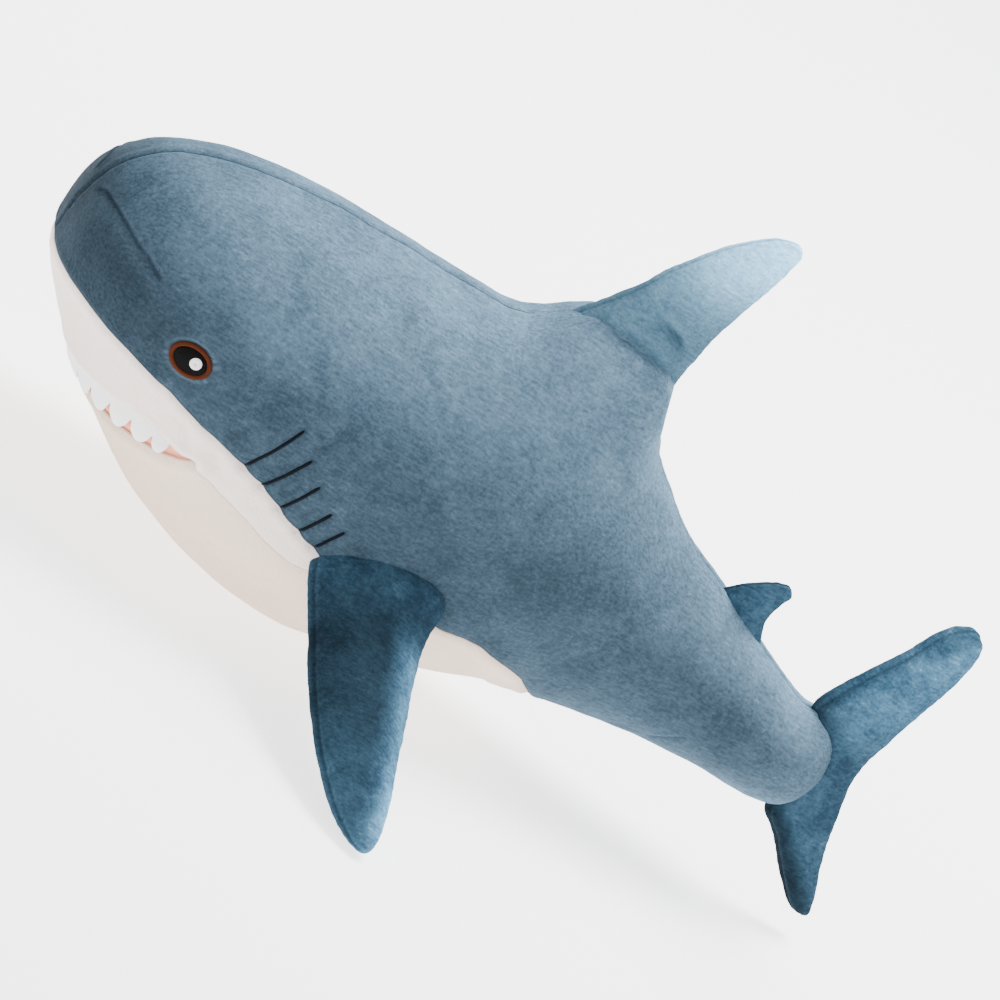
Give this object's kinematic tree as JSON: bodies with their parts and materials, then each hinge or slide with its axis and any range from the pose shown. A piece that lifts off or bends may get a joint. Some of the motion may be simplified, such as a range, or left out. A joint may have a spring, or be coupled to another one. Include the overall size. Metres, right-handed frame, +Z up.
{
  "type": "plush shark",
  "caption": "Stuffed plush shark with a blunt snout, toothed smile, embroidered eyes and gill slits, hinged pectoral, dorsal and tail fins, lying flat on its white belly.",
  "frame": {"origin": "centre of the bounding box's bottom face, in the plane that the belly rests on", "axes": "-X towards the nose, +X towards the tail, -Y towards the shark's left side, +Z up"},
  "size_m": [0.805, 0.6698, 0.4781],
  "materials": {
    "blue_plush": "short-pile plush, matte",
    "fin_plush": "short-pile plush, matte",
    "white_plush": "short-pile plush, matte",
    "pink_lining": "short-pile plush, matte",
    "white_felt": "felt, matte",
    "brown_thread": "satin-stitch embroidery",
    "black_thread": "satin-stitch embroidery",
    "white_thread": "satin-stitch embroidery",
    "dark_thread": "satin-stitch embroidery",
    "fibre_stuffing": "loose polyester fibre"
  },
  "bodies": {
    "body": {"side_panel_left": "blue_plush", "side_panel_right": "blue_plush", "upper_jaw_panel": "white_plush", "belly_panel": "white_plush", "mouth_lining": "pink_lining", "upper_teeth": "white_felt", "eye_ring_left": "brown_thread", "eye_pupil_left": "black_thread", "eye_highlight_left": "white_thread", "eye_ring_right": "brown_thread", "eye_pupil_right": "black_thread", "eye_highlight_right": "white_thread", "gill_left_1": "dark_thread", "gill_left_2": "dark_thread", "gill_left_3": "dark_thread", "gill_left_4": "dark_thread", "gill_left_5": "dark_thread", "gill_right_1": "dark_thread", "gill_right_2": "dark_thread", "gill_right_3": "dark_thread", "gill_right_4": "dark_thread", "gill_right_5": "dark_thread", "body_stuffing": "fibre_stuffing"},
    "pectoral_fin_left": {"pectoral_left_top_panel": "fin_plush", "pectoral_left_bottom_panel": "fin_plush", "pectoral_left_stuffing": "fibre_stuffing"},
    "pectoral_fin_right": {"pectoral_right_top_panel": "fin_plush", "pectoral_right_bottom_panel": "fin_plush", "pectoral_right_stuffing": "fibre_stuffing"},
    "dorsal_fin": {"dorsal_fin_left_panel": "fin_plush", "dorsal_fin_right_panel": "fin_plush", "dorsal_fin_stuffing": "fibre_stuffing"},
    "rear_dorsal_fin": {"rear_dorsal_fin_left_panel": "fin_plush", "rear_dorsal_fin_right_panel": "fin_plush", "rear_dorsal_fin_stuffing": "fibre_stuffing"},
    "tail_fin": {"tail_fin_left_panel": "fin_plush", "tail_fin_right_panel": "fin_plush", "tail_fin_stuffing": "fibre_stuffing"}
  },
  "joints": [
    {"name": "pectoral_left_flap", "type": "hinge", "parent": "body", "child": "pectoral_fin_left", "pos_m": [-0.06, -0.115, 0.097], "axis": [-0.9812, -0.107, -0.1606], "range_deg": [-25, 40], "stiffness_Nm_per_rad": 0.15, "springref_deg": 6.3},
    {"name": "pectoral_right_flap", "type": "hinge", "parent": "body", "child": "pectoral_fin_right", "pos_m": [-0.06, 0.115, 0.097], "axis": [0.9812, -0.107, 0.1606], "range_deg": [-25, 40], "stiffness_Nm_per_rad": 0.15, "springref_deg": 6.3},
    {"name": "dorsal_flop", "type": "hinge", "parent": "body", "child": "dorsal_fin", "pos_m": [0.015, 0, 0.2905], "axis": [0.9465, 0, -0.3227], "range_deg": [-22, 22], "stiffness_Nm_per_rad": 0.12},
    {"name": "rear_dorsal_flop", "type": "hinge", "parent": "body", "child": "rear_dorsal_fin", "pos_m": [0.209, 0, 0.2], "axis": [0.9231, 0, -0.3846], "range_deg": [-30, 30], "stiffness_Nm_per_rad": 0.002},
    {"name": "tail_sway", "type": "hinge", "parent": "body", "child": "tail_fin", "pos_m": [0.305, 0, 0.1215], "axis": [0, 0, 1], "range_deg": [-35, 35], "stiffness_Nm_per_rad": 0.1}
  ]
}
